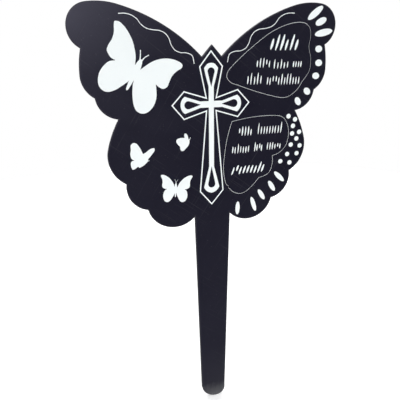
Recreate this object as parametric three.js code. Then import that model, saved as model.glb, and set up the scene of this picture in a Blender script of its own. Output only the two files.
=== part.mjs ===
// Memorial garden stake: a butterfly plate and its ground stake, cut as one outline from one flat sheet.
// Millimetres, +Z up. The printed front faces -Y and the back lies in the plane Y = 0.
// The origin is on the back of the stake at the ground line, in the middle plane of the wings.
import * as THREE from 'three';

// Driving sizes
const sheetThickness = 3;
const wingSpan = 200;
const wingHeight = 168;        // lowest scallop to the top of the upper lobes
const stakeLength = 183;       // tip to the level of the lowest scallops
const stakeShoulderWidth = 30; // where the stake meets the lowest scallops
const stakeTipWidth = 22.4;    // across the round end
const groundDepth = 110;       // tip to the ground line
const crestOffset = 1;         // the crest between the wings sits slightly to the right
const stakeOffset = 0.8;       // so does the stake
const tipOffset = 2.7;         // its lowest point is this far to the right of its middle
const facetTurn = THREE.MathUtils.degToRad(5);

// The wings are a free form, given as shares of half the span and of the wing height.
// The crest is the small point between the two notches, above the cross.
const crestTop = { x: 0, z: 0.83 };
const crestNotch = { x: 0.076, z: 0.780 };

// Each stretch of the right wing ends at x, z and bows out by bulge, a share of its own length
const wingStretches = [
  { x: 0.672, z: 0.991, bulge: 0.070 }, // leading edge
  { x: 0.864, z: 0.996, bulge: 0.046 }, // top of the upper lobe
  { x: 0.920, z: 0.822, bulge: 0.356 }, // end of the upper lobe
  { x: 0.942, z: 0.723, bulge: 0.030 }, // side of the second upper scallop
  { x: 0.854, z: 0.622, bulge: 0.140 }, // foot of the second upper scallop
  { x: 0.700, z: 0.529, bulge: 0.173 }, // third upper scallop
  { x: 0.795, z: 0.394, bulge: 0.035 }, // side of the first lower scallop
  { x: 0.677, z: 0.233, bulge: 0.167 }, // foot of the first lower scallop
  { x: 0.523, z: 0.098, bulge: 0.204 }, // second lower scallop
];
const shoulder = { z: 0.039, bulge: 0.304 }; // third lower scallop, ending on the side of the stake

const tipLevel = -groundDepth;
const wingBase = tipLevel + stakeLength;

function onWing(share) {
  return new THREE.Vector2(share.x * wingSpan / 2, wingBase + share.z * wingHeight);
}

// Circular arc from start to end, bowing to the left of the way there by bulge times the chord
function bowedArc(start, end, bulge) {
  const chord = end.clone().sub(start);
  const halfTurn = 2 * Math.atan(2 * bulge);
  const radius = chord.length() / 2 / Math.sin(halfTurn);
  const toCentre = new THREE.Vector2(chord.y, -chord.x).setLength(radius * Math.cos(halfTurn));
  const centre = start.clone().add(end).multiplyScalar(0.5).add(toCentre);
  const startAngle = start.clone().sub(centre).angle();
  const steps = Math.ceil(2 * halfTurn / facetTurn);
  const arc = new THREE.ArcCurve(centre.x, centre.y, radius, startAngle, startAngle - 2 * halfTurn, true);
  return arc.getPoints(steps).slice(1, -1).concat([end]);
}

// Both halves of the outline are drawn as the right one. Hand is 1 for the right half and -1 for
// the left half as a mirror shows it, which turns the offsets round.

// Points of the wing, from the notch beside the crest down to the side of the stake
function halfWing(hand) {
  const notch = onWing(crestNotch);
  notch.x += hand * crestOffset;
  const points = [notch];
  for (const stretch of wingStretches) {
    points.push(...bowedArc(points.at(-1), onWing(stretch), stretch.bulge));
  }
  const stakeSide = hand * stakeOffset + stakeShoulderWidth / 2;
  const shoulderEnd = new THREE.Vector2(stakeSide, wingBase + shoulder.z * wingHeight);
  points.push(...bowedArc(points.at(-1), shoulderEnd, shoulder.bulge));
  return points;
}

// Half of the round end, from where the straight side runs into it down to the lowest point.
// Its radius is smaller on the side to which the lowest point is moved.
function halfTip(shoulderEnd, hand) {
  const radius = stakeTipWidth / 2 - hand * tipOffset;
  const centre = new THREE.Vector2(hand * (stakeOffset + tipOffset), tipLevel + radius);
  const toShoulder = shoulderEnd.clone().sub(centre);
  const tangentAngle = toShoulder.angle() - Math.acos(radius / toShoulder.length());
  const turn = tangentAngle + Math.PI / 2;
  const arc = new THREE.ArcCurve(centre.x, centre.y, radius, tangentAngle, tangentAngle - turn, true);
  return arc.getPoints(Math.ceil(turn / facetTurn));
}

function halfOutline(hand) {
  const wing = halfWing(hand);
  return wing.concat(halfTip(wing.at(-1), hand));
}

function outline() {
  const rightHalf = halfOutline(1);
  const mirrored = halfOutline(-1).slice(0, -1);
  const leftHalf = mirrored.map((point) => new THREE.Vector2(-point.x, point.y)).reverse();
  const crest = onWing(crestTop);
  crest.x += crestOffset;
  return new THREE.Shape([crest, ...rightHalf, ...leftHalf]);
}

const blackSheet = new THREE.MeshStandardMaterial({ color: 0x24242e, roughness: 0.35, metalness: 0 });

function butterflyStake() {
  const geometry = new THREE.ExtrudeGeometry(outline(), { depth: sheetThickness, bevelEnabled: false });
  geometry.rotateX(Math.PI / 2);
  const plate = new THREE.Mesh(geometry, blackSheet);
  plate.name = 'butterfly_stake';
  return plate;
}

const group = new THREE.Group();
group.add(butterflyStake());

export default group;
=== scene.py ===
# %% [markdown]
# # A memorial garden stake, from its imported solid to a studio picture
#
# The real object is one flat sheet of black plastic, about 3 mm thick, cut out as a butterfly with a long
# stake below it. Everything white on it is a thin film of printed ink: a cross, butterflies, thin lines,
# ovals and dots. It is pushed into the ground, so the stake ends in a round tip.
#
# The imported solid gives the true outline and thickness. Here the same sheet is made again with eased edges
# and fine facets, the ink is laid on it, and both get their finishes, a floor, lights and a camera.

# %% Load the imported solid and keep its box
import math

import bmesh
import bpy
import numpy as np
from mathutils import Matrix, Vector
from mathutils.geometry import delaunay_2d_cdt


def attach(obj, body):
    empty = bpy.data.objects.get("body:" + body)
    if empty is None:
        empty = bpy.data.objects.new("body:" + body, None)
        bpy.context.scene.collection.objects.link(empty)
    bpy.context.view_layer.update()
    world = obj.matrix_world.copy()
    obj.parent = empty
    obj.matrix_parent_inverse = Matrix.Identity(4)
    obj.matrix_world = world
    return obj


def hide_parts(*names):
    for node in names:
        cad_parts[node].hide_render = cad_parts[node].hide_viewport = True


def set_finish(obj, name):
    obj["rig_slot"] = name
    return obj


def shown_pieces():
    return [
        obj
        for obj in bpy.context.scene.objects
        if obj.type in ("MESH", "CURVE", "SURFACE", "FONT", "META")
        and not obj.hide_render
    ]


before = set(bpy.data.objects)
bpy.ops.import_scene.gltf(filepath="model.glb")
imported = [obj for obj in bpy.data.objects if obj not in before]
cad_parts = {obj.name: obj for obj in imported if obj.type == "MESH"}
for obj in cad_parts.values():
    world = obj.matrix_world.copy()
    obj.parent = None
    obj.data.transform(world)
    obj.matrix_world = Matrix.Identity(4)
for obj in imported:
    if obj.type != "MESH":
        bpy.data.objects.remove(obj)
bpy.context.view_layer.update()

# %% [markdown]
# ## Where things are
#
# All shapes below are worked out in millimetres and scaled to metres only when a mesh is written. x runs to
# the right and z upwards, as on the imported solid, whose back lies in the plane y = 0. The heights of the
# printed marks are easiest to give above the lowest point of the stake, so one number shifts them down to
# the ground line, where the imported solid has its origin.

# %% Sizes of the sheet and its print
MM = 0.001
SHEET = 3.0  # thickness of the plastic sheet
INK = 0.04  # height of the printed film on it
INK_ROOT = 0.02  # how far the film's underside lies inside the sheet, so that no gap shows
FRONT = -(SHEET - INK)  # y of the bare front face
TIP = -110.0  # z of the stake's lowest point
PRINT_SHIFT = 0.15  # the print sits this far to the right of the sheet's middle
print(f"bare face at y = {FRONT:.2f} mm, ink up to y = {FRONT - INK:.2f} mm, tip at z = {TIP:.0f} mm")


# %% [markdown]
# ## Drawing curves as whole arrays
#
# A cut sheet and a printed mark are both drawn as closed lines, just as for a cutting machine. Three kinds
# of line are enough: a circular arc between two corners, a smooth curve through a few points, and an
# ellipse. Each one is a formula over an array of parameters, so there is no loop over points.

# %% Arcs, smooth curves and ellipses
SHARPEST = 0.3  # least divisor of a mitre, so that a very sharp corner doesn't shoot out


def bowed_arc(start, end, bulge, step=0.9):
    """Circular arc from start to end, bowing to the left by bulge times the chord.

    Half of its turn is a = 2 atan(2 bulge) and its radius is half the chord over sin a. With the unit chord
    u and its left normal n, the point at angle t from -a to a is
    middle + radius * (sin t * u + (cos t - cos a) * n). Points are at most step apart along the arc.
    """
    start, end = np.asarray(start, float), np.asarray(end, float)
    length = np.hypot(*(end - start))
    half_turn = 2 * np.arctan(2 * bulge)
    radius = length / 2 / np.sin(half_turn)
    along = (end - start) / length
    left = np.array([-along[1], along[0]])
    steps = max(2, int(np.ceil(2 * half_turn * radius / step)))
    t = np.linspace(-half_turn, half_turn, steps + 1)[:, None]
    return (start + end) / 2 + radius * (np.sin(t) * along + (np.cos(t) - np.cos(half_turn)) * left)


def smooth(points, closed=False, step=0.7):
    """Smooth curve through points, which are a chord's length apart in its parameter.

    Between two points it is a cubic that leaves and arrives along the parabola through each point and its
    two neighbours. An open curve starts and ends straight towards its neighbour. Every stretch gets as many
    points as the longest one, whose points are at most about step apart.
    """
    p = np.asarray(points, float)
    if closed:
        p = np.vstack([p[-1:], p, p[:2]])
    else:
        p = np.vstack([2 * p[:1] - p[1:2], p, 2 * p[-1:] - p[-2:-1]])
    gap = np.hypot(*np.diff(p, axis=0).T)[:, None]
    slope = np.diff(p, axis=0) / gap
    tangent = (slope[:-1] * gap[1:] + slope[1:] * gap[:-1]) / (gap[1:] + gap[:-1])
    start, end, length = p[1:-2], p[2:-1], gap[1:-1]
    pieces = max(2, int(np.ceil(length.max() / step)))
    t = (np.arange(pieces) / pieces)[None, :, None]
    start, end, length = start[:, None], end[:, None], length[:, None]
    leave, arrive = tangent[:-1][:, None] * length, tangent[1:][:, None] * length
    curve = (
        (2 * t**3 - 3 * t**2 + 1) * start
        + (t**3 - 2 * t**2 + t) * leave
        + (3 * t**2 - 2 * t**3) * end
        + (t**3 - t**2) * arrive
    ).reshape(-1, 2)
    return curve if closed else np.vstack([curve, p[-2:-1]])


def ellipse(centre, half_length, half_width, lean, count=40):
    """Closed ellipse: centre + half_length cos t along the leaning axis + half_width sin t across it."""
    t = np.linspace(0, 2 * np.pi, count, endpoint=False)[:, None]
    axis = np.array([math.cos(math.radians(lean)), math.sin(math.radians(lean))])
    across = np.array([-axis[1], axis[0]])
    return np.asarray(centre, float) + half_length * np.cos(t) * axis + half_width * np.sin(t) * across


def mitres(line, closed=True):
    """Sideways step to the right of each point that moves the whole line by one unit.

    With the right normals a and b of the two edges that meet there, it is (a + b) / (1 + a.b).
    """
    edge = np.diff(np.vstack([line, line[:1]]) if closed else line, axis=0)
    edge = edge / np.hypot(*edge.T)[:, None]
    normal = np.column_stack([edge[:, 1], -edge[:, 0]])
    if closed:
        before, after = np.roll(normal, 1, axis=0), normal
    else:
        before, after = np.vstack([normal[:1], normal]), np.vstack([normal, normal[-1:]])
    return (before + after) / np.maximum(1 + (before * after).sum(1), SHARPEST)[:, None]


def trimmed(loop, by):
    """Closed line moved inwards by an even step, whichever way round it runs.

    Its area, half the sum of the cross products of each point with the next, is positive where it runs
    anticlockwise, and then its right side is outside.
    """
    area = np.sum(loop[:, 0] * np.roll(loop[:, 1], -1) - loop[:, 1] * np.roll(loop[:, 0], -1))
    return loop - mitres(loop) * by * np.sign(area)


print("an arc with a bulge of half its chord turns", np.degrees(4 * np.arctan(1.0)), "degrees")

# %% [markdown]
# ## The outline of the sheet
#
# One wing is ten arcs between corners, from the notch beside the crest down to the side of the stake. The
# stake narrows a little and ends in a round tip. The other half is its mirror image, apart from three small
# shifts to the right that the real one shows: of the crest between the wings, of the stake, and of the
# lowest point of its round end.

# %% Corners and arcs of the outline
WING_SPAN = 200.0
WING_HEIGHT = 168.0
WING_BASE = TIP + 183.0  # level of the lowest scallops
STAKE_SHOULDER = 30.0  # width of the stake where the wings run into it
STAKE_TIP = 22.4  # width of its round end
CREST_OFFSET = 1.0  # how far the crest sits to the right
STAKE_OFFSET = 0.8  # how far the stake sits to the right
TIP_OFFSET = 2.7  # how far the lowest point is to the right of the stake's middle
SIDE_STEPS = 90  # points along one side of the stake
TIP_STEPS = 24  # points round half of its end
CREST_STEPS = 8  # points along one side of the crest
CREST = (0, 0.83)  # the crest's top, in shares as in the list of the wing's corners
NOTCH = (0.076, 0.780)  # the notch beside it
WING = [  # x as a share of half the span, z as a share of the wing height, bulge as a share of the chord
    (0.672, 0.991, 0.070),
    (0.864, 0.996, 0.046),
    (0.920, 0.822, 0.356),
    (0.942, 0.723, 0.030),
    (0.854, 0.622, 0.140),
    (0.700, 0.529, 0.173),
    (0.795, 0.394, 0.035),
    (0.677, 0.233, 0.167),
    (0.523, 0.098, 0.204),
    (STAKE_SHOULDER / WING_SPAN, 0.039, 0.304),
]


def on_wing(x, z):
    """Point of the wing from its shares of half the span and of the wing height."""
    return np.array([x * WING_SPAN / 2, WING_BASE + z * WING_HEIGHT])


def half_outline(hand):
    """Half of the outline, drawn as the right one, from the notch down to the lowest point.

    Hand is 1 for the right half and -1 for the left half as a mirror shows it, which turns the offsets round.
    The round end's radius is smaller on the side to which its lowest point is moved.
    """
    corners = [on_wing(*NOTCH)] + [on_wing(x, z) for x, z, _ in WING]
    corners[0][0] += hand * CREST_OFFSET
    corners[-1][0] += hand * STAKE_OFFSET
    arcs = [bowed_arc(a, b, s[2])[:-1] for a, b, s in zip(corners, corners[1:], WING)]
    shoulder = corners[-1]
    radius = STAKE_TIP / 2 - hand * TIP_OFFSET
    centre = np.array([hand * (STAKE_OFFSET + TIP_OFFSET), TIP + radius])
    to_shoulder = shoulder - centre
    reach = np.hypot(*to_shoulder)
    tangent = math.atan2(to_shoulder[1], to_shoulder[0]) - math.acos(radius / reach)
    touch = centre + radius * np.array([math.cos(tangent), math.sin(tangent)])
    side = shoulder + np.linspace(0, 1, SIDE_STEPS, endpoint=False)[:, None] * (touch - shoulder)
    t = np.linspace(tangent, -math.pi / 2, TIP_STEPS)[:, None]
    tip = centre + radius * np.hstack([np.cos(t), np.sin(t)])
    return np.vstack([*arcs, side, tip])


def sheet_outline():
    """Closed outline of the sheet, anticlockwise as seen from the front."""
    right_half = half_outline(1)
    left_half = half_outline(-1)[:-1][::-1] * [-1, 1]
    crest = on_wing(*CREST) + [CREST_OFFSET, 0]
    share = np.linspace(0, 1, CREST_STEPS, endpoint=False)[:, None]
    fall = crest + share * (right_half[0] - crest)
    rise = left_half[-1] + share[1:] * (crest - left_half[-1])
    return np.vstack([fall, right_half, left_half, rise])[::-1]


outline = sheet_outline()
print(f"{len(outline)} points, {np.ptp(outline[:, 0]):.1f} mm wide, {np.ptp(outline[:, 1]):.1f} mm tall")


# %% [markdown]
# ## Meshes from arrays
#
# A flat area between closed lines is cut into triangles by a constrained Delaunay triangulation, which
# respects every line. A lattice of extra points inside keeps the sheet's triangles even. The rest is a
# grid: rings of points that are joined row by row.

# %% Filling, joining and writing a mesh
SAME_POINT = 2e-6  # metres: points closer than this are one point
LINES_MEET = 1e-5  # millimetres: drawn lines closer than this meet
ALL_INSIDE, WITHOUT_HOLES = 1, 2  # what the triangulation keeps, as Blender numbers it


def inside(points, loop):
    """Which points lie inside a closed line: those with an odd number of its edges to their right."""
    a, b = loop, np.roll(loop, -1, axis=0)
    x, z = points[:, :1], points[:, 1:]
    spans = (a[:, 1] > z) != (b[:, 1] > z)
    rise = np.where(a[:, 1] == b[:, 1], 1, b[:, 1] - a[:, 1])  # a level edge spans nothing: any number does
    crossing = a[:, 0] + (z - a[:, 1]) / rise * (b[:, 0] - a[:, 0])
    return (spans & (crossing > x)).sum(1) % 2 == 1


def fill(loops, extra=None, holes=False):
    """Points and triangles of the area inside closed lines. With holes, a line inside another cuts it out."""
    ends = np.cumsum([len(loop) for loop in loops]).tolist()
    areas = [list(range(a, b)) for a, b in zip([0] + ends, ends)]
    points = np.vstack(loops if extra is None else [*loops, extra])
    keep = WITHOUT_HOLES if holes else ALL_INSIDE
    made = delaunay_2d_cdt([Vector(p) for p in points.tolist()], [], areas, keep, LINES_MEET)
    used, corners = np.unique(np.array(made[2]), return_inverse=True)
    return np.array([v[:] for v in made[0]])[used], corners.reshape(-1, 3)


def rings(rows, count):
    """Faces that join rows of count points each, one after another, every row closed in itself."""
    r, c = np.meshgrid(np.arange(rows - 1), np.arange(count), indexing="ij")
    here, there = r * count + c, r * count + (c + 1) % count
    return np.stack([here, there, there + count, here + count], axis=-1).reshape(-1, 4)


def write_mesh(name, points, faces, smooth_faces=False):
    """Makes a mesh object from points in millimetres and lists of faces, its doubles merged, facing out."""
    mesh = bpy.data.meshes.new(name)
    mesh.from_pydata((np.asarray(points) * MM).tolist(), [], [f for group in faces for f in group.tolist()])
    work = bmesh.new()
    work.from_mesh(mesh)
    bmesh.ops.remove_doubles(work, verts=work.verts, dist=SAME_POINT)
    bmesh.ops.recalc_face_normals(work, faces=work.faces)
    open_edges = sum(not e.is_manifold for e in work.edges)
    work.to_mesh(mesh)
    work.free()
    mesh.polygons.foreach_set("use_smooth", np.full(len(mesh.polygons), smooth_faces))
    piece = bpy.data.objects.new(name, mesh)
    bpy.context.scene.collection.objects.link(piece)
    print(f"{name}: {len(mesh.vertices)} points, {len(mesh.polygons)} faces, {open_edges} open edges")
    return piece


# %% [markdown]
# ## The black sheet
#
# A sheet that a laser or a router has cut has crisp but not knife-sharp edges. The edge is a small profile
# of insets and depths, carried all the way round the outline: in on the front face, over a quarter round,
# straight down the cut wall, round again and in on the back. The two flats close it.

# %% Carry the edge's profile round the outline
EASE = 0.3  # radius of the eased edge
RIM = 1.2  # width of the strip of the flats that belongs to the edge's profile
WALL_ROWS = 3  # rows of points down the cut wall
LATTICE = 6.0  # distance between the extra points inside the flats
LATTICE_MARGIN = 3.5  # how far they keep from the outline
LATTICE_X = np.arange(-96, 97, LATTICE)  # its columns, across the whole sheet
LATTICE_Z = np.arange(-104, 240, LATTICE)  # and its rows


def edge_profile(steps=4):
    """Inset and depth of each row: rim, quarter round, wall, quarter round, rim."""
    t = np.linspace(0, np.pi / 2, steps + 1)
    front = np.column_stack([EASE * (1 - np.sin(t)), FRONT + EASE * (1 - np.cos(t))])
    back = np.column_stack([EASE * (1 - np.cos(t)), -EASE * (1 - np.sin(t))])
    wall_depths = np.linspace(FRONT + EASE, -EASE, WALL_ROWS + 2)[1:-1]
    wall = np.column_stack([np.zeros(WALL_ROWS), wall_depths])
    return np.vstack([[[RIM, FRONT]], front, wall, back, [[RIM, 0]]])


def carried(loop, profile):
    """Grid of points: row k is the loop moved inwards by the inset of row k and set at its depth."""
    step = mitres(loop)
    flat = loop[None] - profile[:, :1, None] * step[None]
    depth = np.broadcast_to(profile[:, 1:, None], (*flat.shape[:2], 1))
    return np.concatenate([flat[..., :1], depth, flat[..., 1:]], axis=-1)


def make_sheet():
    """The sheet: the carried edge, closed by a triangulated flat at the front and at the back."""
    profile = edge_profile()
    grid = carried(outline, profile)
    rim = grid[0][:, [0, 2]]
    spots = np.stack(np.meshgrid(LATTICE_X, LATTICE_Z), axis=-1).reshape(-1, 2)
    spots = spots[inside(spots, trimmed(outline, LATTICE_MARGIN))]
    flat, corners = fill([rim], spots)
    front = np.insert(flat, 1, FRONT, axis=1)
    back = np.insert(flat, 1, 0.0, axis=1)
    edge = grid.reshape(-1, 3)
    first = len(edge)
    second = first + len(front)
    points = np.vstack([edge, front, back])
    faces = [rings(len(profile), len(outline)), corners + first, corners[:, ::-1] + second]
    return write_mesh("black_sheet", points, faces, smooth_faces=True)


sheet = make_sheet()

# %% [markdown]
# The cut wall needs its own pattern: fine marks across the thickness, as a cutter leaves them. They follow
# the outline, so the sheet gets a UV map whose u is the distance along the outline and whose v is the
# depth. An attribute named "wear" is 1 on the eased edge and 0 on the flats, for the paler worn edge.

# %% Distance along the outline, depth and wear
BATCHES = 16  # parts in which the nearest points are looked for, to keep the table of distances small
FLAT_FACING = 0.999  # a face whose normal runs this much along y lies on a flat


def nearest_along(points):
    """Distance along the outline of the outline point that is nearest to each point, in millimetres."""
    run = np.concatenate([[0], np.cumsum(np.hypot(*np.diff(outline, axis=0).T))])
    parts = np.array_split(points, BATCHES)
    found = [((part[:, None] - outline) ** 2).sum(-1).argmin(1) for part in parts]
    return run[np.concatenate(found)]


def mark_sheet(piece):
    """Writes the UV map and the wear attribute of the sheet.

    A face across the outline's start has corners at both ends of the run. Those at the far end are moved
    back by its whole length, so that the face is as small on the map as on the sheet.
    """
    mesh = piece.data
    co = np.empty(len(mesh.vertices) * 3)
    mesh.vertices.foreach_get("co", co)
    co = co.reshape(-1, 3) / MM
    along = nearest_along(co[:, [0, 2]])
    corner_of = np.empty(len(mesh.loops), int)
    mesh.loops.foreach_get("vertex_index", corner_of)
    uv = np.column_stack([along, co[:, 1]])[corner_of] * MM
    starts = np.empty(len(mesh.polygons), int)
    mesh.polygons.foreach_get("loop_start", starts)
    face_of = np.repeat(np.arange(len(starts)), np.diff(np.append(starts, len(corner_of))))
    low = np.minimum.reduceat(uv[:, 0], starts)[face_of]
    wraps = uv[:, 0] - low > 0.5 * along.max() * MM
    uv[wraps, 0] -= along.max() * MM
    mesh.uv_layers.new(name="cut_edge").data.foreach_set("uv", uv.ravel())
    normal = np.empty(len(mesh.polygons) * 3)
    mesh.polygons.foreach_get("normal", normal)
    on_flat = np.abs(normal.reshape(-1, 3)[:, 1]) > FLAT_FACING
    touches = np.zeros(len(mesh.vertices))
    np.maximum.at(touches, corner_of, np.where(on_flat, 0.0, 1.0)[face_of])
    wear = mesh.attributes.new("wear", "FLOAT", "POINT")
    wear.data.foreach_set("value", touches.astype(np.float32))
    print(f"{int(touches.sum())} points on the edge, outline {along.max():.0f} mm long")


mark_sheet(sheet)
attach(sheet, "root")
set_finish(sheet, "black_sheet")
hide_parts("butterfly_stake")


# %% [markdown]
# ## Ink laid on the sheet
#
# Printed ink is a film a few hundredths of a millimetre high, with a slightly crowned top where the mark is
# narrow. Two ways cover all marks. A line or a brush stroke is a low profile carried along its path, as
# wide as the pen was there. A broad figure is its outline, filled and given the film's height.

# %% Film over a broad figure, and film along a path
INK_BACK = FRONT + INK_ROOT
INK_TOP = FRONT - INK
INK_GAIN = 0.10  # broad figures are drawn this much inside the edge that they seem to have from a distance
BEAD_ACROSS = np.array([-1, -1, -0.72, 0, 0.72, 1, 1])  # a bead's profile, in shares of its half width
BEAD_RISE = np.array([0, 0.4, 0.85, 1, 0.85, 0.4, 0])  # and of the film's height, with 0 for its underside


def at_depth(flat, depth):
    """Points of a flat drawing, set at one depth in front of or behind the bare face."""
    return np.insert(flat, 1, depth, axis=1)


def film(loops, holes=False):
    """Closed film over the area inside the loops: a top, the same underside, and walls where they end."""
    flat, tris = fill(loops, holes=holes)
    flat = flat + [PRINT_SHIFT, TIP]
    count = len(flat)
    sides = np.vstack([tris[:, [0, 1]], tris[:, [1, 2]], tris[:, [2, 0]]])
    rim = sides[~np.isin(sides @ [count, 1], sides @ [1, count])]  # a side that no other triangle shares
    walls = np.column_stack([rim, rim[:, ::-1] + count])
    points = np.vstack([at_depth(flat, INK_TOP), at_depth(flat, INK_BACK)])
    return points, [tris, tris[:, ::-1] + count, walls]


def bead(path, half_width, closed=False):
    """Closed bead of ink: a crowned profile as wide as half_width says, carried along the path."""
    path = np.asarray(path, float)
    half_width = np.broadcast_to(half_width, len(path))[:, None]
    step = mitres(path, closed)
    depth = np.where(BEAD_RISE > 0, FRONT - BEAD_RISE * INK, INK_BACK)
    flat = path[:, None] + step[:, None] * (half_width * BEAD_ACROSS)[..., None] + [PRINT_SHIFT, TIP]
    points = np.insert(flat.reshape(-1, 2), 1, np.tile(depth, len(path)), axis=1)
    rows, count = len(path), len(BEAD_ACROSS)
    faces = rings(rows + 1 if closed else rows, count) % len(points)
    caps = [np.arange(count)[None], np.arange(count)[None, ::-1] + (rows - 1) * count]
    return points, [faces] if closed else [faces, *caps]


def join(parts):
    """Several films and beads as one list of points and faces."""
    first = np.cumsum([0] + [len(points) for points, _ in parts[:-1]])
    faces = [group + start for (_, groups), start in zip(parts, first) for group in groups]
    return np.vstack([points for points, _ in parts]), faces


def printed(name, parts):
    """Writes one printed piece, which rides on the sheet's body and takes the print's finish."""
    piece = write_mesh(name, *join(parts))
    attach(piece, "root")
    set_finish(piece, "white_print")


def mirrored(points):
    """The same drawing on the other side of the print's middle line."""
    return np.asarray(points, float) * [-1, 1]


def mirrored_across(points):
    """The same drawing on the other side of a butterfly's body."""
    return np.asarray(points, float) * [1, -1]


# %% [markdown]
# ## The cross and its border
#
# The cross is a plain traditional one with flared ends and drop-shaped openings. A thin line with mitred
# corners runs round it. The right half is drawn and mirrored, so that both are symmetric.

# %% Cross border
BORDER_OUTSIDE = [
    (0, 318.7), (9.15, 307.3), (4.5, 285.1), (21.1, 290.3), (30.8, 280.0), (21.5, 268.9), (4.3, 274.3),
    (10.0, 210.6), (0, 198.6),
]
BORDER_WIDTH = 0.92


def mirror_closed(half):
    """Closed anticlockwise loop from its right half, which runs from the middle line's top to its foot."""
    half = np.asarray(half, float)
    return np.vstack([half, mirrored(half[1:-1])[::-1]])[::-1]


border_out = mirror_closed(BORDER_OUTSIDE)
border_in = trimmed(border_out, BORDER_WIDTH)
printed("cross_border", [film([border_out, border_in], holes=True)])

# %% Cross figure
STEM = 2.1  # half width of the upright
ARM_LOW, ARM_HIGH = 277.3, 282.3  # the arm's lower and upper sides near the middle
DROP_POINTS = 28  # points round the circle of an opening


def cross_outline():
    """The figure: a head, two arms and a foot, flared and with rounded ends, joined by straight bars."""
    head_end = smooth([(0, 309.9), (2.6, 309.3), (4.2, 307.8), (5.5, 306.1)])
    head = smooth([(5.5, 306.1), (4.85, 303.0), (3.85, 299.0), (2.75, 295.0), (STEM, 292.8)])
    arm_top = [(STEM, ARM_HIGH), (8.6, ARM_HIGH), (20.6, 286.2)]
    arm_end = smooth([
        (20.6, 286.2), (22.1, 284.9), (23.4, 282.8), (23.95, 279.8), (23.4, 276.8), (22.1, 274.6),
        (20.6, 273.3),
    ])
    arm_foot = [(8.6, ARM_LOW), (STEM, ARM_LOW)]
    foot = [(STEM, 231.2), (6.5, 213.9)]
    foot_end = smooth([(6.5, 213.9), (5.4, 212.0), (3.2, 210.0), (0, 208.8)])
    half = [head_end[:-1], head, arm_top[:-1], arm_end, arm_foot, foot[:-1], foot_end]
    return mirror_closed(np.vstack(half))


def drop(tip, heart, radius):
    """Drop-shaped opening: a circle about heart, closed by its two tangents from tip."""
    tip, heart = np.asarray(tip, float), np.asarray(heart, float)
    way = math.atan2(*(heart - tip)[::-1])
    spread = math.pi / 2 + math.asin(radius / np.hypot(*(heart - tip)))
    t = np.linspace(-spread, spread, DROP_POINTS)[:, None] + way
    return np.vstack([heart + radius * np.hstack([np.cos(t), np.sin(t)]), [tip]])


openings = [  # tip, heart and radius
    drop((0, 292.6), (0, 303.8), 2.7),
    drop((0, 231.2), (0, 216.4), 2.95),
    drop((8.2, 279.8), (17.9, 279.8), 3.0),
    drop((-8.2, 279.8), (-17.9, 279.8), 3.0),
]
printed("cross_figure", [film([trimmed(cross_outline(), INK_GAIN), *openings], holes=True)])

# %% [markdown]
# ## Butterflies
#
# Four plain white butterflies fly over the left wing, as silhouettes with no marking on their wings. Two
# are seen from above. The large one has its left and right wings drawn apart, because they differ a little.
# The small one is the large one's left side and its mirror image, turned and scaled. The other two are seen
# from the side and have one feeler each.

# %% Butterflies from above
LEFT_WINGS = [  # the fore wing, then the hind wing, from the body outwards and back to it
    [
        (4.4, 2.7), (8.9, 4.6), (13.7, 8.0), (17.9, 12.1), (21.2, 17.1), (23.4, 22.5), (23.7, 25.8),
        (22.3, 28.2), (19.9, 27.5), (16.2, 25.5), (11.6, 24.5), (6.0, 24.8), (3.0, 24.1), (1.4, 22.1),
        (0.1, 19.4), (0.1, 16.2),
    ],
    [
        (0.1, 16.2), (-2.4, 19.3), (-7.5, 21.4), (-12.5, 21.8), (-16.8, 20.7), (-20.3, 18.6), (-22.0, 15.9),
        (-22.4, 13.3), (-21.2, 10.0), (-18.2, 7.1), (-13.6, 4.3), (-8.5, 1.7),
    ],
]
RIGHT_WINGS = [
    [
        (4.5, -2.4), (8.9, -4.5), (13.9, -7.6), (18.1, -11.9), (21.1, -17.2), (22.4, -22.6), (22.4, -25.3),
        (21.5, -27.0), (19.8, -27.3), (16.2, -25.5), (11.6, -24.1), (6.0, -24.4), (2.8, -24.7), (0.1, -22.9),
        (-0.5, -19.8), (0.0, -16.7),
    ],
    [
        (0.0, -16.7), (-2.8, -18.7), (-7.5, -21.4), (-12.5, -22.6), (-17.3, -22.2), (-21.6, -20.1),
        (-23.6, -16.5), (-23.4, -13.2), (-21.2, -10.0), (-18.0, -7.4), (-13.4, -4.5), (-8.2, -2.1),
    ],
]
BODY_STATIONS = [  # place along the body's axis and half width there
    (-14.0, 0.25), (-13.2, 0.8), (-10.5, 1.2), (-6.0, 1.6), (0, 2.1), (4.0, 2.4), (6.5, 2.0), (8.4, 1.5),
    (9.6, 0.9), (10.0, 0.3),
]
AXIS_ASIDE, AXIS_SLOPE = 0.3, 0.035  # the body's axis runs slightly askew: this far aside and this steep
FEELER_END = 0.75  # share of its width that a feeler keeps at its end
LARGE_FEELERS = [  # start, bend, end, half width
    ((8.4, 1.2), (11.6, 2.4), (15.1, 4.3), 0.36),
    ((8.4, 0.0), (11.8, -0.6), (15.2, -2.5), 0.38),
]
SMALL_FEELERS = [
    ((9.6, 0.8), (12.5, 1.2), (16.0, 3.0), 0.25),
    ((9.6, 0.0), (12.5, -0.4), (16.0, -2.1), 0.25),
]
LARGE_PLACE = ((-55.7, 304.4), 58.0, (1, 1))  # centre, heading in degrees, scale along the body and across
SMALL_PLACE = ((-29.6, 214.9), 83.7, (0.49, 0.455))


def placed(figure, centre, heading, scale):
    """Sets a figure, drawn with its head along +u, at centre with its head towards heading."""
    u = np.array([math.cos(math.radians(heading)), math.sin(math.radians(heading))])
    v = np.array([-u[1], u[0]])
    figure = np.asarray(figure, float) * scale
    return np.asarray(centre, float) + figure[:, :1] * u + figure[:, 1:] * v


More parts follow.
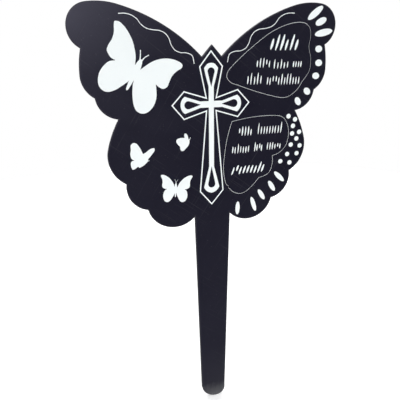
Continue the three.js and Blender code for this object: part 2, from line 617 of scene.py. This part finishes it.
def spindle(stations):
    """Closed body outline from its half widths along the axis v = AXIS_ASIDE + AXIS_SLOPE * u."""
    side = smooth(stations)
    body = np.vstack([side * [1, -1], side[::-1]])
    return body + np.column_stack([0 * body[:, 0], AXIS_ASIDE + AXIS_SLOPE * body[:, 0]])


def feeler(start, bend, end, half_width):
    """Outline of a thin feeler along a bent path, tapering a little towards its end."""
    path = smooth([start, bend, end])
    step = mitres(path, closed=False) * np.linspace(1.0, FEELER_END, len(path))[:, None] * half_width
    return np.vstack([path + step, (path - step)[::-1]])


def butterfly_loops(centre, heading, scale, sides, feelers):
    """All outlines of one butterfly seen from above: two wings on each side, body and feelers."""
    wings = [np.vstack([(0.0, 0.0), smooth(fore), smooth(hind)[1:]]) for fore, hind in sides]
    broad = [placed(shape, centre, heading, scale) for shape in (*wings, spindle(BODY_STATIONS))]
    thin = [placed(feeler(*f), centre, heading, scale) for f in feelers]
    return [trimmed(shape, INK_GAIN) for shape in broad] + thin


printed("butterfly_large", [film(butterfly_loops(*LARGE_PLACE, (LEFT_WINGS, RIGHT_WINGS), LARGE_FEELERS))])
same_wings = (LEFT_WINGS, [mirrored_across(stretch) for stretch in LEFT_WINGS])
printed("butterfly_upright", [film(butterfly_loops(*SMALL_PLACE, same_wings, SMALL_FEELERS))])

# %% Butterflies from the side
SIDE_VIEW = [  # stretches of the outline between its corners
    [
        (-53.7, 245.2), (-51.7, 246.2), (-49.6, 247.7), (-46.6, 249.1), (-44.9, 249.0), (-44.7, 247.6),
        (-46.7, 244.5), (-50.0, 240.8),
    ],
    [(-50.0, 240.8), (-50.3, 239.2), (-51.8, 237.6), (-53.8, 236.0), (-56.9, 234.5)],
    [(-56.9, 234.5), (-57.5, 234.8), (-58.0, 235.6)],
    [(-58.0, 235.6), (-59.3, 234.6), (-60.9, 233.7), (-62.5, 233.5)],
    [(-62.5, 233.5), (-63.4, 236.0), (-63.2, 239.3), (-62.2, 240.4), (-60.8, 240.6)],
    [
        (-60.8, 240.6), (-62.5, 241.9), (-63.4, 245.1), (-62.8, 248.9), (-62.5, 252.6), (-60.6, 254.1),
        (-58.4, 253.6), (-56.5, 251.3), (-55.2, 248.9), (-53.7, 245.2),
    ],
]
TINY = [
    [
        (-21.4, 255.4), (-21.6, 257.8), (-20.9, 258.9), (-19.6, 258.4), (-18.7, 256.7), (-18.2, 254.6),
        (-17.4, 252.7), (-18.0, 249.9), (-20.4, 247.0), (-22.3, 245.3), (-24.0, 245.3), (-24.9, 246.7),
        (-25.1, 248.7),
    ],
    [(-25.1, 248.7), (-26.9, 250.7), (-28.0, 253.1), (-27.0, 254.8), (-24.6, 255.5), (-21.4, 255.4)],
]
SIDE_FEELER = ((-51.8, 239.7), (-50.4, 239.4), (-49.2, 239.7), 0.3)
TINY_FEELER = ((-18.2, 253.0), (-17.2, 254.1), (-16.7, 255.5), 0.25)


def side_loops(stretches, feeler_parts):
    """A loop of smooth stretches that meet in corners, and a feeler, drawn from the sheet's middle line."""
    loop = np.vstack([smooth(s, step=0.5)[:-1] for s in stretches])
    return [trimmed(loop - [PRINT_SHIFT, 0], INK_GAIN), feeler(*feeler_parts) - [PRINT_SHIFT, 0]]


printed("butterfly_side", [film(side_loops(SIDE_VIEW, SIDE_FEELER))])
printed("butterfly_tiny", [film(side_loops(TINY, TINY_FEELER))])

# %% [markdown]
# ## Ovals and dots along the right edge
#
# Long ovals sit in the scallops and small dots between them, as on many real butterflies. Each one is its
# own ellipse.

# %% Ovals and dots
OVALS = [  # x, z, half length, half width, lean in degrees
    (82.1, 343.7, 7.5, 2.6, 38), (87.25, 337.7, 4.9, 2.6, 25), (90.05, 329.8, 7.5, 2.65, 11),
    (87.0, 318.0, 3.05, 2.6, 174), (87.8, 307.7, 3.05, 2.6, 172), (86.05, 298.0, 3.1, 2.6, 169),
    (79.3, 286.4, 3.35, 2.55, 138), (71.8, 278.9, 3.6, 2.4, 122), (58.8, 217.6, 6.35, 2.05, 135),
    (52.4, 209.9, 5.45, 2.05, 122), (43.4, 203.2, 5.5, 2.0, 122), (36.5, 195.4, 6.9, 1.95, 108),
    (22.5, 193.3, 5.85, 1.95, 88),
]
DOTS = [
    (64.5, 267.4), (70.4, 264.6), (68.9, 259.4), (74.7, 254.2), (68.5, 253.2), (72.6, 248.8),
    (67.9, 244.0), (75.9, 242.8), (65.1, 236.3), (73.6, 236.4), (59.3, 230.6), (67.6, 229.0),
]
DOT_RADIUS = 2.0
DOT_POINTS = 28
ovals = [ellipse((x - PRINT_SHIFT, z), a, b, lean) for x, z, a, b, lean in OVALS]
dots = [ellipse((x - PRINT_SHIFT, z), DOT_RADIUS, DOT_RADIUS, 0, DOT_POINTS) for x, z in DOTS]
printed("wing_ovals", [film([trimmed(oval, INK_GAIN)]) for oval in ovals])
printed("wing_dots", [film([trimmed(dot, INK_GAIN)]) for dot in dots])

# %% [markdown]
# ## Thin lines
#
# A wavy line follows the upper edge of each wing, and a hairline frames each of the two panels of words. A
# pen line is a bead of ink with round ends, so its width is given along the path. The upper panel's
# hairline is printed thinner on its outer side, so its width is given along the path too.

# %% Wavy lines
WAVE = [
    (65.0, 343.2), (60.5, 343.3), (56.3, 342.2), (52.6, 339.8), (49.9, 336.3), (46.2, 333.8), (42.0, 332.8),
    (37.5, 332.3), (33.5, 330.5), (30.8, 327.1), (29.4, 322.9), (26.8, 319.3), (22.8, 317.5), (18.5, 317.2),
    (14.5, 315.5), (12.7, 309.5),
]
WAVE_WIDTH = 0.5
WAVE_LIFT = 0.22  # the right wave sits this much higher than drawn, and the left one lower
WAVE_ASIDE = 0.1  # the right wave sits this much further to the left than drawn
ROUND_LIMIT = 0.97  # cuts a round end off just before its width is nothing


def round_ended(path, width):
    """Half widths along a path with round ends: r times the square root of 1 - (1 - d / r)^2.

    Here r is half the width, and d is the distance to the nearer end, as far as r.
    """
    run = np.concatenate([[0], np.cumsum(np.hypot(*np.diff(path, axis=0).T))])
    to_end = np.minimum(run, run[-1] - run)
    share = np.clip(1 - to_end / (width / 2), 0, ROUND_LIMIT)
    return width / 2 * np.sqrt(1 - share**2)


def pen_line(points, width):
    """Bead along a smooth open path, finely divided so that its round ends show."""
    path = smooth(points, step=0.25)
    return bead(path, round_ended(path, width))


printed("right_wave", [pen_line(np.add(WAVE, [-WAVE_ASIDE, WAVE_LIFT]), WAVE_WIDTH)])
printed("left_wave", [pen_line(mirrored(WAVE) - [0, WAVE_LIFT], WAVE_WIDTH)])

# %% Panel lines
UPPER_PANEL = [
    (12.3, 299.3), (13.2, 303.2), (15.8, 306.3), (21.7, 311.8), (31.7, 320.0), (38.3, 324.8),
    (45.1, 329.4), (52.4, 333.1), (60.1, 335.8), (68.0, 337.1), (72.0, 337.0), (75.8, 335.7),
    (78.4, 332.7), (79.3, 328.7), (79.1, 324.6), (78.4, 320.7), (79.0, 316.8), (80.3, 313.0),
    (80.8, 308.9), (80.7, 304.9), (79.7, 301.0), (77.4, 297.6), (74.9, 294.5), (70.9, 288.4),
    (67.9, 285.6), (64.5, 283.5), (60.7, 282.4), (56.6, 282.5), (48.8, 284.2), (37.2, 287.5),
    (29.5, 290.1), (22.0, 292.8), (14.6, 296.0),
]
LOWER_PANEL = [
    [
        (14.3, 213.3), (13.5, 214.0), (12.5, 215.1), (11.7, 217.0), (10.95, 220.0), (10.35, 224.0),
        (10.05, 231.0), (10.7, 237.9), (11.75, 246.0), (13.3, 254.0), (15.0, 260.2), (16.8, 265.7),
    ],
    [
        (16.8, 265.7), (24.8, 267.2), (36.9, 268.6), (45.1, 268.9), (53.2, 268.6), (57.2, 268.0),
        (60.8, 265.9), (63.1, 262.6), (64.6, 258.8), (65.3, 255.0), (65.3, 251.7), (64.7, 247.7),
        (63.4, 243.8), (61.2, 240.9), (58.6, 238.7), (55.6, 237.1), (51.9, 236.0),
    ],
    [(51.9, 236.0), (52.3, 232.0), (51.8, 227.5), (50.5, 223.4), (48.0, 220.8), (44.6, 219.1), (41.0, 218.4)],
    [
        (41.0, 218.4), (38.4, 215.4), (35.2, 212.0), (32.0, 209.1), (28.4, 206.8), (24.4, 205.9),
        (20.5, 206.9), (17.0, 209.1), (14.3, 212.1),
    ],
]
HAIRLINE = 0.2
THIN_FROM, THIN_TO = 74.0, 79.0  # between these x the upper panel's line gets thinner towards its outer side
THIN_SHARE = 0.5  # of its width is left there
upper_path = smooth(UPPER_PANEL, closed=True) - [PRINT_SHIFT, 0]
outer_share = np.clip((upper_path[:, 0] - THIN_FROM) / (THIN_TO - THIN_FROM), 0, 1)
upper_half_width = HAIRLINE / 2 * (1 - (1 - THIN_SHARE) * outer_share)
printed("upper_panel_line", [bead(upper_path, upper_half_width, closed=True)])
lower_path = np.vstack([*[smooth(stretch)[:-1] for stretch in LOWER_PANEL], LOWER_PANEL[-1][-1:]])
printed("lower_panel_line", [bead(lower_path - [PRINT_SHIFT, 0], HAIRLINE / 2)])

# %% [markdown]
# ## Rows of strokes in place of words
#
# Each panel of the real one holds a verse. Here every word is a group of plain leaning strokes of the same
# size and weight, which are no letters. A stroke is widest in its middle and runs out at both ends, as from
# a flat pen. One row in each panel is bolder and leans more, as brush writing does.

# %% Rows of strokes
PEN = np.random.default_rng(7)
STROKE_POINTS = 15
LENS_END = 0.06  # least width of the plain lens, as a share of its middle
LENS_POWER = 0.45  # power that such shares are raised to, which makes the lens blunt


def stroke(foot, length, lean, width, bow):
    """Bead along a slightly bowed stroke whose half width is that of a lens, raised to a blunt power."""
    t = np.linspace(0, 1, STROKE_POINTS)
    axis = np.array([math.sin(math.radians(lean)), math.cos(math.radians(lean))])
    across = np.array([axis[1], -axis[0]])
    path = np.asarray(foot, float) + t[:, None] * length * axis + (bow * np.sin(np.pi * t))[:, None] * across
    return bead(path, width / 2 * np.clip(np.sin(np.pi * t), LENS_END, 1) ** LENS_POWER)


STROKE_ENDS = [(0.0, 0.97), (0.0, 0.66), (0.06, 0.72), (0.30, 0.80)]  # as shares of the row's height
END_SHARES = [0.27, 0.33, 0.28, 0.12]  # how often each pair of ends comes
STROKE_WEIGHTS = (0.88, 1.12)  # lightest and heaviest stroke, as shares of the row's width of stroke
STROKE_BOW = 0.2  # most that a stroke bows to either side
LEAN_ABOUT = 0.4  # share of the row's height about which its strokes lean


def word(x_low, x_high, z_low, z_high, pitch, width, lean):
    """Single strokes side by side in a box, tall, short or raised, so that none of them makes a letter."""
    tall = z_high - z_low
    lean_run = math.tan(math.radians(lean))
    made = []
    for x in np.linspace(x_low + width / 2, x_high - width / 2, max(2, round((x_high - x_low) / pitch))):
        low, high = STROKE_ENDS[PEN.choice(len(STROKE_ENDS), p=END_SHARES)]
        weight, bow = PEN.uniform(*STROKE_WEIGHTS), PEN.uniform(-STROKE_BOW, STROKE_BOW)
        foot = (x + (low - LEAN_ABOUT) * tall * lean_run, z_low + low * tall)
        made.append(stroke(foot, (high - low) * tall, lean, width * weight, bow))
    return made


UPPER_WORDS = [  # x from and to, z from and to, the strokes' pitch and width, their lean in degrees
    (47, 69, 317.5, 329.5, 3.6, 1.8, 16),
    (36, 46.8, 305.3, 312.6, 2.2, 0.9, 5),
    (50, 61.7, 304.2, 311.4, 2.2, 0.9, 5),
    (65.8, 73, 305, 311.6, 1.9, 1.0, 5),
    (28.6, 40.2, 293, 302, 2.3, 0.9, 5),
    (44.6, 71.8, 292.2, 300.6, 2.2, 0.9, 5),
]
LOWER_WORDS = [
    (22.4, 33.3, 254, 261.6, 2.1, 1.0, 5),
    (38.6, 58.8, 254.4, 263.6, 2.2, 0.9, 5),
    (17, 31.4, 240, 248, 2.2, 0.9, 5),
    (35.8, 42.7, 240.6, 248.4, 1.9, 1.0, 5),
    (46.7, 58.7, 241.2, 247.4, 2.1, 1.0, 5),
    (17.5, 44.5, 222.5, 232.5, 2.9, 1.4, 20),
]
printed("verse_upper", [mark for row in UPPER_WORDS for mark in word(*row)])
printed("verse_lower", [mark for row in LOWER_WORDS for mark in word(*row)])


# %% [markdown]
# ## Finish of the black sheet
#
# The plastic is a very dark blue-black with a satin shine. Its face is even, so the detail is small: a
# slow change of roughness, fine wipe marks, dust specks and a few faint scratches. The cut edge is rougher
# and a little paler, with fine marks across the thickness. The stake is painted paler towards its tip, in
# streaks: partly scuffing where the soil rubs it and partly a painted highlight where the tip mirrors the
# bright floor. The stretch above is painted faintly paler, partly dust and partly painted sheen. All of
# these are noises on the sheet's own coordinates, apart from the marks on the edge, which follow its UV map.

# %% Small helpers for node trees
def new_material(name, base, roughness, specular):
    """A material with a Principled shader whose constant values are set on its own sockets.

    Where a pattern is linked to one of them later, it takes the constant's place.
    """
    material = bpy.data.materials.new(name)
    material.use_nodes = True
    shader = material.node_tree.nodes["Principled BSDF"]
    shader.inputs["Base Color"].default_value = (*base, 1)
    shader.inputs["Roughness"].default_value = roughness
    shader.inputs["Specular IOR Level"].default_value = specular
    return material, material.node_tree, shader


def node(tree, kind, **values):
    """Adds a node and sets its properties or the default values of its named inputs."""
    made = tree.nodes.new(kind)
    for key, value in values.items():
        if hasattr(made, key):
            setattr(made, key, value)
        else:
            made.inputs[key.replace("_", " ")].default_value = value
    return made


def noise(tree, source, scale, detail=2.0, stretch=(1, 1, 1), lean=0.0):
    """Noise from 0 to 1, drawn out by stretch along axes that lean by so many degrees about Y."""
    turn = (0, math.radians(lean), 0)
    mapping = node(tree, "ShaderNodeMapping", vector_type="TEXTURE", Scale=stretch, Rotation=turn)
    tree.links.new(source, mapping.inputs["Vector"])
    made = node(tree, "ShaderNodeTexNoise", Scale=scale, Detail=detail)
    tree.links.new(mapping.outputs["Vector"], made.inputs["Vector"])
    return made.outputs["Fac"]


def ranged(tree, source, low, high, to_low=0.0, to_high=1.0):
    """Maps a value from low..high to to_low..to_high, clamped. Without those two it gives a share."""
    made = node(tree, "ShaderNodeMapRange", clamp=True)
    for socket, value in zip(("From Min", "From Max", "To Min", "To Max"), (low, high, to_low, to_high)):
        made.inputs[socket].default_value = value
    tree.links.new(source, made.inputs["Value"])
    return made.outputs["Result"]


def blended(tree, share, first, second):
    """Colour that goes from first to second as share goes from 0 to 1."""
    made = node(tree, "ShaderNodeMix", data_type="RGBA")
    for socket, value in zip([s for s in made.inputs if s.type == "RGBA"], (first, second)):
        if isinstance(value, tuple):
            socket.default_value = (*value, 1)
        else:
            tree.links.new(value, socket)
    tree.links.new(share, made.inputs["Factor"])
    return [s for s in made.outputs if s.type == "RGBA"][0]


def combined(tree, operation, *values):
    """One value from two or three by a math operation. Any of them may be a number."""
    made = node(tree, "ShaderNodeMath", operation=operation)
    for socket, value in zip(made.inputs, values):
        if isinstance(value, (int, float)):
            socket.default_value = value
        else:
            tree.links.new(value, socket)
    return made.outputs["Value"]


def bumped(tree, shader, height, distance):
    """Lets a height between 0 and 1 bend the shader's normal, as deep as distance in metres."""
    made = node(tree, "ShaderNodeBump", Distance=distance, Strength=1.0)
    tree.links.new(height, made.inputs["Height"])
    tree.links.new(made.outputs["Normal"], shader.inputs["Normal"])


# %% Black sheet
BLACK = (0.0045, 0.0043, 0.0115)
BLACK_PALE = (0.0062, 0.0060, 0.0138)
WORN = (0.030, 0.029, 0.038)
SCRATCHED = (0.050, 0.050, 0.056)
DUST = (0.080, 0.080, 0.085)
# Pale colour towards the tip: partly scuffing from the soil, partly a painted highlight where the tip mirrors
# the bright floor.
SCUFF_AND_HIGHLIGHT = (0.104, 0.104, 0.110)
COOL_SHINE = (0.82, 0.80, 1.0)
DUST_AND_SHEEN_TOP = TIP + 60  # the stake is painted faintly paler below this height: dust and painted sheen
DUST_AND_SHEEN_FULL = TIP + 15  # and palest with dust and painted sheen at this one, about where the pale scuffing and painted highlight start
SCUFF_AND_HIGHLIGHT_START = DUST_AND_SHEEN_FULL + 9  # no scuffing or painted highlight above this height
SCUFF_AND_HIGHLIGHT_FULL = TIP + 5  # full scuffing and painted highlight below this one
BLOTCHED, STREAKED = 0.008, 0.006  # metres by which a blotchy noise and a streaky one lower both at most
DUST_AND_SHEEN_SHARE = 0.07  # share of the pale tip colour where the dust and painted sheen are strongest
SCRATCH_LEANS = (33, -52)  # degrees
SCRATCH_COLOUR = 0.3  # share of the scratched colour in a scratch
SCRATCH_DEPTH, GRAIN_HEIGHT = 0.3, 0.25  # as shares of the most that the surface is bumped
SATIN = (0.32, 0.39)  # roughness of the plain face, from its smoothest clouds to its roughest
WIPED = 0.07  # a wipe mark is this much rougher at most
WORN_ROUGH = 0.12  # and a scratch or the cut edge this much


def tip_scuff_and_highlight(tree, place):
    """Share of pale scuffing and painted highlight, growing towards the tip in streaks as the soil rubs them,
    with dust and painted sheen above.
    """
    apart = node(tree, "ShaderNodeSeparateXYZ")
    tree.links.new(place, apart.inputs["Vector"])
    height = apart.outputs["Z"]
    streaks = noise(tree, place, scale=900, detail=3, stretch=(1, 1, 12))
    blotches = noise(tree, place, scale=160, detail=4)
    ragged = combined(tree, "MULTIPLY_ADD", blotches, BLOTCHED, height)
    ragged = combined(tree, "MULTIPLY_ADD", streaks, STREAKED, ragged)
    scuff_and_highlight_share = ranged(tree, ragged, SCUFF_AND_HIGHLIGHT_START * MM, SCUFF_AND_HIGHLIGHT_FULL * MM)
    dust_and_sheen_share = ranged(tree, height, DUST_AND_SHEEN_TOP * MM, DUST_AND_SHEEN_FULL * MM, 0, DUST_AND_SHEEN_SHARE)
    return combined(tree, "MAXIMUM", scuff_and_highlight_share, dust_and_sheen_share)


def scratches(tree, place, lean):
    """Share of fine straight scratches: the peaks of a noise drawn out along them, in scattered patches."""
    streaks = noise(tree, place, scale=1500, detail=1, stretch=(1, 1, 90), lean=lean)
    lines = ranged(tree, streaks, 0.68, 0.74)
    patches = ranged(tree, noise(tree, place, scale=35, lean=lean), 0.42, 0.62)
    return combined(tree, "MULTIPLY", lines, patches)


def black_plastic():
    """Satin blue-black plastic with wipe marks, dust specks, a tip paled by scuffing and a painted highlight,
    and a worn, marked cut edge.
    """
    material, tree, shader = new_material("satin black plastic", BLACK, roughness=0.36, specular=0.105)
    shader.inputs["Specular Tint"].default_value = (*COOL_SHINE, 1)
    place = node(tree, "ShaderNodeTexCoord").outputs["Object"]
    along = node(tree, "ShaderNodeUVMap", uv_map="cut_edge").outputs["UV"]
    wear = node(tree, "ShaderNodeAttribute", attribute_name="wear").outputs["Fac"]
    cloud = noise(tree, place, scale=14, detail=3)
    wipes = noise(tree, place, scale=55, detail=4, stretch=(7, 7, 1), lean=20)
    specks = ranged(tree, noise(tree, place, scale=900), 0.70, 0.76, 0, 0.3)
    grain = noise(tree, place, scale=2600)
    cuts = noise(tree, along, scale=1800, stretch=(1, 33, 1))
    lines = combined(tree, "MAXIMUM", *[scratches(tree, place, lean) for lean in SCRATCH_LEANS])
    colour = blended(tree, ranged(tree, cloud, 0.35, 0.7), BLACK, BLACK_PALE)
    colour = blended(tree, combined(tree, "MULTIPLY", lines, SCRATCH_COLOUR), colour, SCRATCHED)
    colour = blended(tree, specks, colour, DUST)
    # The stake's foot is painted paler: scuffing and dust, together with a painted highlight and sheen where
    # the tip mirrors the bright floor.
    colour = blended(tree, tip_scuff_and_highlight(tree, place), colour, SCUFF_AND_HIGHLIGHT)
    edge_share = combined(tree, "MULTIPLY", wear, ranged(tree, cuts, 0.3, 0.7, 0.35, 0.9))
    tree.links.new(blended(tree, edge_share, colour, WORN), shader.inputs["Base Color"])
    plain, wiped = ranged(tree, cloud, 0.3, 0.7, *SATIN), ranged(tree, wipes, 0.4, 0.75, 0, WIPED)
    rough = combined(tree, "ADD", plain, wiped)
    rough = combined(tree, "MULTIPLY_ADD", lines, WORN_ROUGH, rough)
    rough = combined(tree, "MULTIPLY_ADD", wear, WORN_ROUGH, rough)
    tree.links.new(rough, shader.inputs["Roughness"])
    marks = combined(tree, "MULTIPLY", edge_share, cuts)
    height = combined(tree, "MULTIPLY_ADD", grain, GRAIN_HEIGHT, marks)
    height = combined(tree, "SUBTRACT", height, combined(tree, "MULTIPLY", lines, SCRATCH_DEPTH))
    bumped(tree, shader, height, distance=0.00002)
    return material


sheet_finish = black_plastic()
print(f"{sheet_finish.name}: {len(sheet_finish.node_tree.nodes)} nodes")


# %% White ink
INK_WHITE = (0.893, 0.940, 0.944)
INK_DULL = (0.878, 0.928, 0.934)
PINHOLE = (0.55, 0.58, 0.60)
INK_ROUGHNESS = (0.46, 0.56)  # from its smoothest clouds to its roughest


def white_ink():
    """Slightly cool white ink with a fine orange-peel surface and tiny pinholes."""
    material, tree, shader = new_material("white print", INK_WHITE, roughness=0.5, specular=0.12)
    place = node(tree, "ShaderNodeTexCoord").outputs["Object"]
    cloud = noise(tree, place, scale=40, detail=3)
    pins = ranged(tree, noise(tree, place, scale=1500, detail=1), 0.74, 0.80, 0, 0.35)
    tint = blended(tree, ranged(tree, cloud, 0.35, 0.7), INK_WHITE, INK_DULL)
    tree.links.new(blended(tree, pins, tint, PINHOLE), shader.inputs["Base Color"])
    tree.links.new(ranged(tree, cloud, 0.3, 0.7, *INK_ROUGHNESS), shader.inputs["Roughness"])
    bumped(tree, shader, noise(tree, place, scale=1200, detail=3), distance=0.00001)
    return material


ink_finish = white_ink()
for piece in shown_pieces():
    finish = ink_finish if piece.get("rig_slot") == "white_print" else sheet_finish
    piece.data.materials.clear()
    piece.data.materials.append(finish)

# %% [markdown]
# ## Floor, light and camera
#
# The picture was taken in white surroundings. A round pale floor under the tip and a white world give that
# background. The floor glows a little, like a table lit from below, so the tip throws hardly any shadow.
# The dark sheet mirrors what lies in front of it, so the floor ends behind the camera and the world seen in
# the sheet is dimmer than the one behind the object.

# %% Floor and surroundings
FLOOR_HUB, FLOOR_RADIUS = 0.02, 0.9  # metres: its first and its last ring
FLOOR_RINGS, FLOOR_STEPS = 12, 96
FLOOR_GLOW = 0.2
FLOOR_DIM, FLOOR_PALE = (0.915, 0.915, 0.92), (0.945, 0.945, 0.945)


def round_floor():
    """Flat disc of rings about the object's foot: the point at radius r and angle t is (r cos t, r sin t)."""
    r = np.linspace(FLOOR_HUB, FLOOR_RADIUS, FLOOR_RINGS)[:, None]
    t = np.linspace(0, 2 * np.pi, FLOOR_STEPS, endpoint=False)[None]
    level = np.full((FLOOR_RINGS, FLOOR_STEPS), TIP * MM)
    disc = np.stack([r * np.cos(t), r * np.sin(t), level], axis=-1)
    points = disc.reshape(-1, 3) / MM
    faces = [rings(FLOOR_RINGS, FLOOR_STEPS), np.arange(FLOOR_STEPS)[None]]
    return write_mesh("floor", points, faces)


floor = round_floor()
floor_finish, floor_tree, floor_shader = new_material("pale floor", FLOOR_PALE, roughness=0.7, specular=0.2)
floor_place = node(floor_tree, "ShaderNodeTexCoord").outputs["Object"]
floor_cloud = noise(floor_tree, floor_place, scale=60, detail=3)
floor_tint = blended(floor_tree, floor_cloud, FLOOR_DIM, FLOOR_PALE)
floor_tree.links.new(floor_tint, floor_shader.inputs["Base Color"])
floor_shader.inputs["Emission Color"].default_value = (1, 1, 1, 1)
floor_shader.inputs["Emission Strength"].default_value = FLOOR_GLOW
floor.data.materials.append(floor_finish)


def white_world(seen, lighting):
    """World that is white where the camera looks at it and dimmer as a source of light."""
    world = bpy.data.worlds.new("studio")
    world.use_nodes = True
    tree = world.node_tree
    backdrop = tree.nodes["Background"]
    backdrop.inputs["Color"].default_value = (1, 1, 1, 1)
    direct = node(tree, "ShaderNodeLightPath").outputs["Is Camera Ray"]
    tree.links.new(ranged(tree, direct, 0, 1, lighting, seen), backdrop.inputs["Strength"])
    bpy.context.scene.world = world


white_world(seen=1.0, lighting=0.20)

# %% [markdown]
# Four broad lamps give the even light of a studio: two in front, one overhead and one behind. A flat glossy
# sheet shows its finish only where it mirrors something bright. So five more lamps, two in front and three
# behind, stand where the sheet mirrors them and light nothing but gloss. The two in front make the black a
# little brighter on the left than on the right, as in the picture.

# %% Soft lights
AIM_LOW, AIM_LEFT, AIM_RIGHT = (0, 0, 0.05), (-0.08, 0, 0.2), (0.08, 0, 0.2)
AIM_BEHIND, AIM_DOWN = (0, 0, 0.15), (0, 0.1, 0)
SHEEN_SIZE, BACK_SHEEN_SIZE = (0.6, 0.5), (1.2, 0.6)
LAMPS = [  # name, place, aim and size in metres, watts, and whether it lights nothing but gloss
    ("front_left", (-0.55, -2.0, 1.15), AIM_LOW, (1.6, 1.0), 18.8, False),
    ("front_right", (1.5, -1.4, 1.2), AIM_LOW, (1.0, 1.0), 5.9, False),
    ("sheen_left", (-0.43, -2.41, 0.74), AIM_LEFT, SHEEN_SIZE, 71, True),
    ("sheen_right", (1.62, -1.97, 0.67), AIM_RIGHT, SHEEN_SIZE, 7, True),
    ("overhead", (0, 0.1, 1.8), AIM_DOWN, (2.0, 2.0), 34, False),
    ("behind", (0.3, 1.6, 1.2), AIM_LOW, (1.4, 0.8), 16, False),
    ("sheen_behind_left", (-1.7, 1.9, 0.25), AIM_BEHIND, BACK_SHEEN_SIZE, 32, True),
    ("sheen_behind", (0.2, 2.4, 0.25), AIM_BEHIND, BACK_SHEEN_SIZE, 41, True),
    ("sheen_behind_right", (1.7, 1.9, 0.25), AIM_BEHIND, BACK_SHEEN_SIZE, 48, True),
]


def softbox(name, place, aim, size, watts, only_gloss):
    """Rectangular area light at place, turned towards aim."""
    lamp = bpy.data.lights.new(name, "AREA")
    lamp.shape = "RECTANGLE"
    lamp.size, lamp.size_y = size
    lamp.energy = watts
    holder = bpy.data.objects.new(name, lamp)
    holder.location = place
    holder.rotation_euler = (Vector(aim) - Vector(place)).to_track_quat("-Z", "Y").to_euler()
    holder.visible_diffuse = not only_gloss
    bpy.context.scene.collection.objects.link(holder)


for lamp_row in LAMPS:
    softbox(*lamp_row)
print(f"{len(LAMPS)} lamps, of which {sum(row[-1] for row in LAMPS)} light nothing but gloss")

# %% [markdown]
# The camera stands where the photographer's did: in front, a little to the left and above, looking down. Its
# place and directions were worked out from corners of the outline that mirror each other.

# %% Camera
CAMERA_PLACE = (-90.84, -321.83, 211.27)
CAMERA_RIGHT = (0.96782, -0.25122, -0.01457)
CAMERA_UP = (0.09786, 0.32238, 0.94154)
FOCAL_PIXELS = 430.0
PICTURE_PIXELS = 400.0
SENSOR = 36.0
camera_data = bpy.data.cameras.new("camera")
camera_data.sensor_width = SENSOR
camera_data.lens = SENSOR * FOCAL_PIXELS / PICTURE_PIXELS
camera = bpy.data.objects.new("camera", camera_data)
right, up = Vector(CAMERA_RIGHT).normalized(), Vector(CAMERA_UP).normalized()
turn = Matrix((right, up, right.cross(up))).transposed().to_4x4()
camera.matrix_world = Matrix.Translation(Vector(CAMERA_PLACE) * MM) @ turn
bpy.context.scene.collection.objects.link(camera)
bpy.context.scene.camera = camera
bpy.context.scene.view_settings.view_transform = "Standard"
print(f"lens {camera_data.lens:.1f} mm, camera at {[round(v, 3) for v in camera.matrix_world.translation]}")
